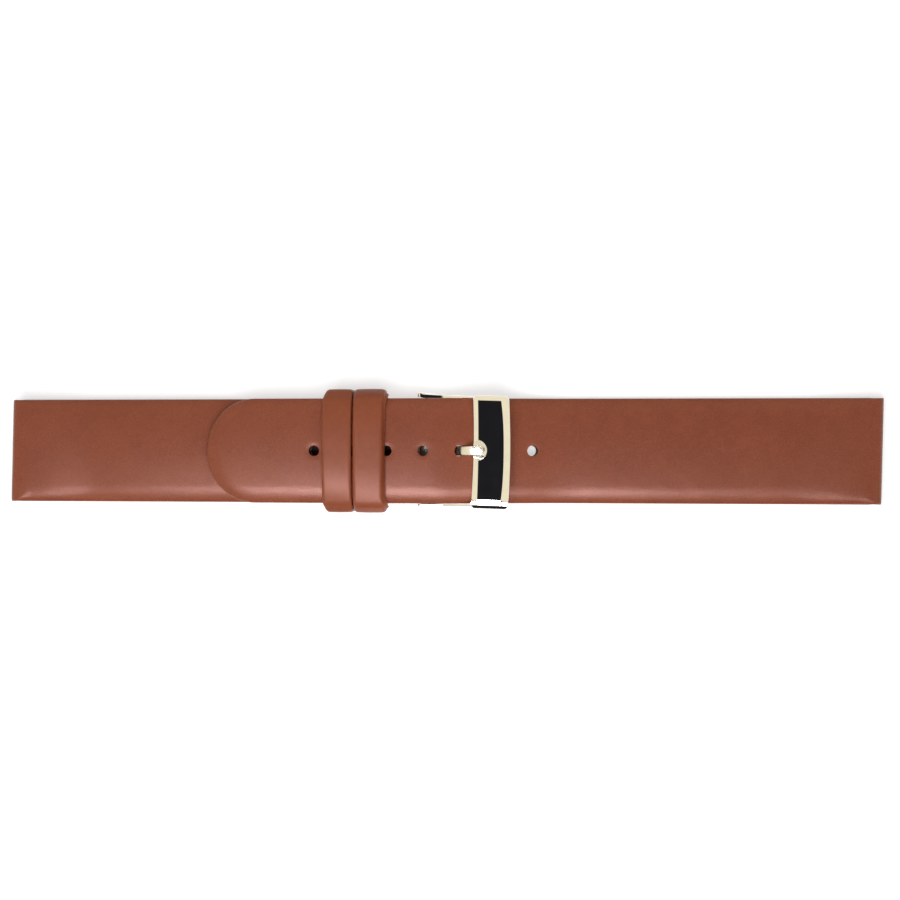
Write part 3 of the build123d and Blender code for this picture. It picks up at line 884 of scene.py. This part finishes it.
def build_tongue():
    """Shaft swept along its bends to a rounded tip, and the eye around the spring bar."""
    length = float(tongue_path.u[-1])
    body = np.linspace(0, length - TIP_RUN, 70)
    tip = length - TIP_RUN + TIP_RUN * np.sin(np.linspace(0, math.pi / 2 - 0.05, 12))[1:]
    rows = []
    for u in np.concatenate([body, tip]):
        near = max(0.0, (u - length + TIP_RUN) / TIP_RUN)
        round_off = math.sqrt(max(0.0, 1 - near ** 2))
        width = TONGUE_HALF * (0.25 + 0.75 * round_off)
        thick = (TONGUE_THICK - 0.1 * float(ease((u - 7.0) / 2.0))) * (0.35 + 0.65 * round_off)
        section = ring(tongue_half(width, thick, 0.05 * round_off + 0.01))
        section[:, 1] += 0.14 * float(ease((u - 5.0) / 3.0)) * section[:, 0]
        rows.append(tongue_path.place(np.full(len(section), u), section[:, 0], section[:, 1]))
    shaft = make_mesh("buckle_tongue_polished", capped(rows))
    rim = [(-EYE_HALF + EYE_EDGE * (1 - math.sin(turn)),
            EYE_RADIUS - EYE_EDGE * (1 - math.cos(turn)))
           for turn in np.linspace(0, math.pi / 2, 6)]
    sizes = [(-EYE_HALF, 0.5)] + rim[::-1] + [(-y, radius) for y, radius in rim] + [(EYE_HALF, 0.5)]
    eye = make_mesh("eye", capped(round_rows(BAR_X, BAR_Z, sizes, 64)))
    join(shaft, [eye])
    return cut(shaft, [bore(BAR_X, BAR_Z, EYE_BORE, 64, 3)])


buckle_tongue = build_tongue()


# Materials

PER_METRE = 1000.0  # millimetres


def shader(name):
    """New material: its nodes, its links and its surface shader."""
    material = bpy.data.materials.new(name)
    material.use_nodes = True
    tree = material.node_tree
    surface = tree.nodes["Principled BSDF"]
    return material, tree, surface


def node(tree, kind, inputs, **settings):
    """New node; an input is another node's socket, or else a value."""
    made = tree.nodes.new(kind)
    for key, value in settings.items():
        setattr(made, key, value)
    for key, value in inputs.items():
        if isinstance(value, bpy.types.NodeSocket):
            tree.links.new(value, made.inputs[key])
        else:
            made.inputs[key].default_value = value
    return made


def rgb(red, green, blue):
    """Colour of a shader from the usual 0 to 255 values."""
    def linear(value):
        value /= 255
        return value / 12.92 if value <= 0.04045 else ((value + 0.055) / 1.055) ** 2.4
    return (linear(red), linear(green), linear(blue), 1.0)


def object_place(tree, stretch=(1.0, 1.0, 1.0)):
    """Place on the object in millimetres."""
    coordinates = node(tree, "ShaderNodeTexCoord", {})
    return node(tree, "ShaderNodeMapping", {
        "Vector": coordinates.outputs["Object"],
        "Scale": tuple(PER_METRE * part for part in stretch)}).outputs[0]


def noise_of(tree, place, scale, detail=2.0, roughness=0.5, distortion=0.0):
    return node(tree, "ShaderNodeTexNoise", {
        "Vector": place, "Scale": scale, "Detail": detail, "Roughness": roughness,
        "Distortion": distortion}).outputs["Fac"]


def ranged(tree, value, low, high, out_low, out_high):
    return node(tree, "ShaderNodeMapRange", {
        "Value": value, "From Min": low, "From Max": high, "To Min": out_low,
        "To Max": out_high}).outputs[0]


def mixed(tree, share, first, second, kind="MIX"):
    """Two colours mixed; 6 and 7 are a colour mix's inputs, 2 its output."""
    return node(tree, "ShaderNodeMix", {"Factor": share, 6: first, 7: second},
                data_type="RGBA", blend_type=kind).outputs[2]


def math_of(tree, operation, first, second=0.0):
    return node(tree, "ShaderNodeMath", {0: first, 1: second}, operation=operation).outputs[0]


def leather(name, dark, light, deep, gloss, level=0.4, shine=(1.0, 0.66, 0.64, 1.0)):
    """Smooth calf leather: cloudy dye, fine pores, small creases and a soft polish."""
    material, tree, surface = shader(name)
    place = object_place(tree)
    clouds = noise_of(tree, place, 0.16, 4.0, 0.6)
    colour = mixed(tree, ranged(tree, clouds, 0.35, 0.65, 0.0, 1.0), dark, light)
    patches = noise_of(tree, place, 0.62, 3.0, 0.55)
    colour = mixed(tree, ranged(tree, patches, 0.42, 0.75, 0.0, 0.35), colour, deep)
    speckle = noise_of(tree, place, 5.5, 3.0, 0.65)
    mottle = noise_of(tree, place, 1.3, 2.0, 0.5)
    shade = math_of(tree, "MULTIPLY", ranged(tree, speckle, 0.3, 0.7, 0.96, 1.04),
                    ranged(tree, mottle, 0.3, 0.7, 0.95, 1.05))
    grey = node(tree, "ShaderNodeCombineColor", {0: shade, 1: shade, 2: shade}).outputs[0]
    colour = mixed(tree, 1.0, colour, grey, "MULTIPLY")
    tree.links.new(colour, surface.inputs["Base Color"])
    rough = ranged(tree, speckle, 0.3, 0.7, gloss - 0.04, gloss + 0.04)
    tree.links.new(rough, surface.inputs["Roughness"])
    surface.inputs["Specular IOR Level"].default_value = level
    surface.inputs["Specular Tint"].default_value = shine

    warp = noise_of(tree, place, 1.1, 2.0, 0.5)
    pores = node(tree, "ShaderNodeTexVoronoi", {
        "Vector": place, "Scale": 3.4, "Randomness": 1.0}, feature="DISTANCE_TO_EDGE")
    furrow = ranged(tree, pores.outputs["Distance"], 0.0, 0.12, 0.0, 1.0)
    grain = math_of(tree, "MULTIPLY", furrow, 0.45)
    grain = math_of(tree, "ADD", grain, math_of(tree, "MULTIPLY", speckle, 0.8))
    crease = noise_of(tree, place, 0.55, 2.0, 0.5, 1.4)
    ridges = math_of(tree, "ABSOLUTE", math_of(tree, "SUBTRACT", crease, 0.5))
    ridges = ranged(tree, ridges, 0.0, 0.05, 0.0, 1.0)
    grain = math_of(tree, "ADD", grain, math_of(tree, "MULTIPLY", ridges, 0.15))
    grain = math_of(tree, "ADD", grain, math_of(tree, "MULTIPLY", warp, 1.2))
    bump = node(tree, "ShaderNodeBump", {"Height": grain, "Strength": 0.35, "Distance": 0.000028})
    tree.links.new(bump.outputs[0], surface.inputs["Normal"])
    return material


def plain_cloth(name, base, other, scale, rough):
    """Napped lining or woven tape."""
    material, tree, surface = shader(name)
    place = object_place(tree)
    nap = noise_of(tree, place, scale, 4.0, 0.7)
    clouds = noise_of(tree, place, 0.3, 2.0, 0.5)
    share = math_of(tree, "ADD", math_of(tree, "MULTIPLY", nap, 0.6),
                    math_of(tree, "MULTIPLY", clouds, 0.4))
    colour = mixed(tree, ranged(tree, share, 0.35, 0.65, 0.0, 1.0), base, other)
    tree.links.new(colour, surface.inputs["Base Color"])
    surface.inputs["Roughness"].default_value = rough
    surface.inputs["Sheen Weight"].default_value = 0.25
    bump = node(tree, "ShaderNodeBump", {"Height": nap, "Strength": 0.5, "Distance": 0.00008})
    tree.links.new(bump.outputs[0], surface.inputs["Normal"])
    return material


def steel(name, level, rough, depth):
    """Polished or plainly turned steel with fine wear."""
    material, tree, surface = shader(name)
    place = object_place(tree)
    wear = noise_of(tree, place, 0.5, 3.0, 0.5)
    worn_rough = ranged(tree, wear, 0.3, 0.7, rough * 0.7, rough * 1.4)
    tree.links.new(worn_rough, surface.inputs["Roughness"])
    worn = tuple(0.96 * part for part in level)
    tint = mixed(tree, ranged(tree, wear, 0.4, 0.7, 0.0, 1.0), level + (1.0,), worn + (1.0,))
    tree.links.new(tint, surface.inputs["Base Color"])
    surface.inputs["Metallic"].default_value = 1.0
    hair = noise_of(tree, object_place(tree, (0.4, 6.0, 3.0)), 2.0)
    bump = node(tree, "ShaderNodeBump", {"Height": hair, "Strength": 0.08, "Distance": depth})
    tree.links.new(bump.outputs[0], surface.inputs["Normal"])
    return material


BROWN = leather("strap_leather", rgb(141, 75, 52), rgb(147, 79, 55), rgb(133, 70, 48), 0.27)
KEEPER_BROWN = leather(
    "keeper_leather", rgb(144, 77, 51), rgb(149, 80, 53), rgb(136, 72, 46), 0.35, 0.32)
# Near-black leather: partly the darker tone of cut edges, partly painted shade that makes the
# punched holes look deep
CUT_EDGE_AND_HOLE_SHADE = leather("cut_leather_and_painted_hole_shade", rgb(26, 15, 12), rgb(32, 19, 15), rgb(20, 12, 10), 0.8)
BEIGE = plain_cloth("lining_leather", rgb(222, 202, 168), rgb(208, 186, 150), 3.0, 0.82)
TAPE = plain_cloth("woven_tape", rgb(206, 198, 182), rgb(188, 178, 160), 6.0, 0.9)
CHROME = steel("polished_steel", (0.93, 0.92, 0.91), 0.05, 0.000001)
TONGUE_STEEL = steel("tongue_steel", (0.93, 0.92, 0.91), 0.21, 0.000001)
STEEL = steel("turned_steel", (0.70, 0.70, 0.69), 0.22, 0.00001)
CUT_AND_SHADE_INDEX = 1  # of the near-black cut edge and painted hole shade among the brown leather's materials
# Painted shade under the tail's holes: its reach around each hole, and the height above which the
# short strap takes it
HOLE_SHADE_RADIUS, HOLE_SHADE_LEVEL = 1.15, 2.6


def paint(piece, *materials):
    piece.data.materials.clear()
    for material in materials:
        piece.data.materials.append(material)


def cut_edge_and_painted_shade_walls(piece, centres):
    """Give the walls of the punched holes a near-black colour: the cut edge's darker tone, deepened
    into painted shade of the holes' depth.
    """
    for face in piece.data.polygons:
        middle = face.center / MM
        for x, z, angle in centres:
            along = (middle.x - x) * math.cos(angle) + (middle.z - z) * math.sin(angle)
            radius = math.hypot(along, middle.y)
            square = face.normal.x * -math.sin(angle) + face.normal.z * math.cos(angle)
            if radius < HOLE_RADIUS + 0.06 and abs(square) < 0.5:
                face.material_index = CUT_AND_SHADE_INDEX


def paint_shade_under_holes(piece, centres):
    """Painted shade: the short strap turns near black where it shows through the tail's holes."""
    for face in piece.data.polygons:
        middle = face.center / MM
        if middle.z > HOLE_SHADE_LEVEL and any(
                math.hypot(middle.x - x, middle.y) < HOLE_SHADE_RADIUS for x, _, _ in centres):
            face.material_index = CUT_AND_SHADE_INDEX


hole_places = [tuple(float(v) for v in tail_path.at(u)) for u in hole_us]
for piece, body, slot, materials in (
        (tail_upper, None, "brown_leather", (BROWN, CUT_EDGE_AND_HOLE_SHADE)),
        (tail_lining, None, "beige_lining", (BEIGE,)),
        (tail_tape, "buckle", "woven_tape", (TAPE,)),
        (short_upper, "short_strap", "brown_leather", (BROWN, CUT_EDGE_AND_HOLE_SHADE)),
        (short_lining, "short_strap", "beige_lining", (BEIGE,)),
        (short_tape, "short_strap", "woven_tape", (TAPE,)),
        (loop_tape, "short_strap", "woven_tape", (TAPE,)),
        (fixed_keeper, "short_strap", "brown_leather", (KEEPER_BROWN,)),
        (free_keeper, "free_keeper", "brown_leather", (KEEPER_BROWN,)),
        (buckle_frame, "buckle", "polished_steel", (CHROME,)),
        (buckle_tongue, "tongue", "polished_steel", (TONGUE_STEEL,))):
    paint(piece, *materials)
    if body is None:
        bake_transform(piece)
    else:
        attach(piece, body)
# Hole walls: the cut edges' darker tone, deepened into painted shade
cut_edge_and_painted_shade_walls(tail_upper, hole_places)
# Painted shade on the short strap, seen through the tail's holes
paint_shade_under_holes(short_upper, hole_places)

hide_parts("tail_upper_loose_end", "tail_upper_watch_end", "tail_padding_loose_end",
            "tail_padding_watch_end", "tail_core_loose_end", "tail_core_watch_end")
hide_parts("tail_lining_loose_end", "tail_lining_watch_end")
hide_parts("tail_lug_tape")
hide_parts("short_upper_leather", "short_padding", "short_core")
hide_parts("short_lining")
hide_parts("short_lug_tape")
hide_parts("short_loop_tape")
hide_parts("fixed_keeper_leather", "fixed_keeper_core")
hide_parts("free_keeper_leather", "free_keeper_core")
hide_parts("buckle_frame")
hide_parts("buckle_tongue")

for name in (
        "spring_bar_barrel", "spring_bar_pin_left", "spring_bar_pin_right", "spring_bar_spring"):
    paint(nodes[name], STEEL)


# Floor, light and camera

def floor():
    """Pale floor that keeps the shadow; its glow is seen but lights nothing."""
    bm = bmesh.new()
    bmesh.ops.create_grid(bm, x_segments=1, y_segments=1, size=3.0)
    piece = object_from(bm, "floor")
    material, tree, surface = shader("floor")
    surface.inputs["Base Color"].default_value = (0.80, 0.80, 0.80, 1)
    surface.inputs["Roughness"].default_value = 0.9
    surface.inputs["Specular IOR Level"].default_value = 0.1
    glow = node(tree, "ShaderNodeEmission", {"Color": (1, 1, 1, 1)})
    ray = node(tree, "ShaderNodeLightPath", {})
    seen = math_of(tree, "ADD", ray.outputs["Is Camera Ray"], ray.outputs["Is Glossy Ray"])
    seen = math_of(tree, "ADD", seen, ray.outputs["Is Transmission Ray"])
    tree.links.new(math_of(tree, "MULTIPLY", seen, 0.55), glow.inputs["Strength"])
    total = node(tree, "ShaderNodeAddShader", {0: surface.outputs[0], 1: glow.outputs[0]})
    tree.links.new(total.outputs[0], tree.nodes["Material Output"].inputs["Surface"])
    paint(piece, material)
    piece.location.z = -0.00002


def lamp(name, place, aim, size, power, diffuse=True, glossy=True):
    """Slightly warm area lamp, seen by diffuse or glossy rays or by both."""
    light = bpy.data.lights.new(name, "AREA")
    light.shape = "RECTANGLE"
    light.size, light.size_y = size
    light.energy = power
    light.color = (1.0, 0.985, 0.96)
    holder = bpy.data.objects.new(name, light)
    holder.location = Vector(place)
    holder.rotation_euler = (Vector(aim) - Vector(place)).to_track_quat("-Z", "Y").to_euler()
    holder.visible_diffuse = diffuse
    holder.visible_glossy = glossy
    bpy.context.scene.collection.objects.link(holder)


def surroundings():
    """Even pale studio; reflections see cream, with dark areas above and in front."""
    world = bpy.data.worlds.new("studio")
    bpy.context.scene.world = world
    world.use_nodes = True
    tree = world.node_tree
    background = tree.nodes["Background"]
    coordinates = node(tree, "ShaderNodeTexCoord", {})
    parts = node(tree, "ShaderNodeSeparateXYZ", {0: coordinates.outputs["Generated"]})
    height = parts.outputs[2]
    above = math_of(tree, "MULTIPLY", ranged(tree, height, 0.86, 0.91, 0.0, 1.0),
                    ranged(tree, parts.outputs[1], 0.20, 0.26, 1.0, 0.0))
    in_front = ranged(tree, parts.outputs[1], -0.80, -0.74, 1.0, 0.0)
    glossy = mixed(tree, math_of(tree, "MAXIMUM", above, in_front),
                   (0.90, 0.82, 0.60, 1.0), (0.012, 0.012, 0.014, 1.0))
    ray = node(tree, "ShaderNodeLightPath", {})
    ambient = mixed(tree, ray.outputs["Is Camera Ray"],
                    (0.36, 0.36, 0.37, 1.0), (1.0, 1.0, 1.0, 1.0))
    colour = mixed(tree, ray.outputs["Is Glossy Ray"], ambient, glossy)
    tree.links.new(colour, background.inputs["Color"])
    background.inputs["Strength"].default_value = 1.0


def camera():
    """View from above, tilted about the strap's width and turned by a hair."""
    tilt = math.radians(5.0)
    roll = math.radians(0.06)
    distance = 0.220
    aim = Vector((2.18 * MM, 0.14 * MM, 0.0))
    back = Vector((math.sin(tilt), 0, math.cos(tilt)))
    right = Vector((math.cos(tilt), 0, -math.sin(tilt)))
    up = Vector((0, 1, 0))
    turned_right = right * math.cos(roll) + up * math.sin(roll)
    turned_up = up * math.cos(roll) - right * math.sin(roll)
    data = bpy.data.cameras.new("camera")
    data.sensor_width = 36.0
    data.lens = 51.08
    data.clip_start = 0.01
    holder = bpy.data.objects.new("camera", data)
    matrix = Matrix((turned_right, turned_up, back)).transposed().to_4x4()
    matrix.translation = aim + back * distance
    holder.matrix_world = matrix
    bpy.context.scene.collection.objects.link(holder)
    bpy.context.scene.camera = holder


floor()
surroundings()
LAMP_AIM = (-0.006, -0.004, 0.0)
lamp("key", (-0.013, -0.075, 0.175), LAMP_AIM, (0.200, 0.120), 0.26, glossy=False)
lamp("sheen", (-0.024, -0.071, 0.170), LAMP_AIM, (0.140, 0.032), 0.37, diffuse=False)
lamp("far_sheen", (0.51, -0.62, 1.5), (0.010, 0.0, 0.0), (0.16, 0.26), 3.4, diffuse=False)
camera()
bpy.context.scene.view_settings.view_transform = "Standard"
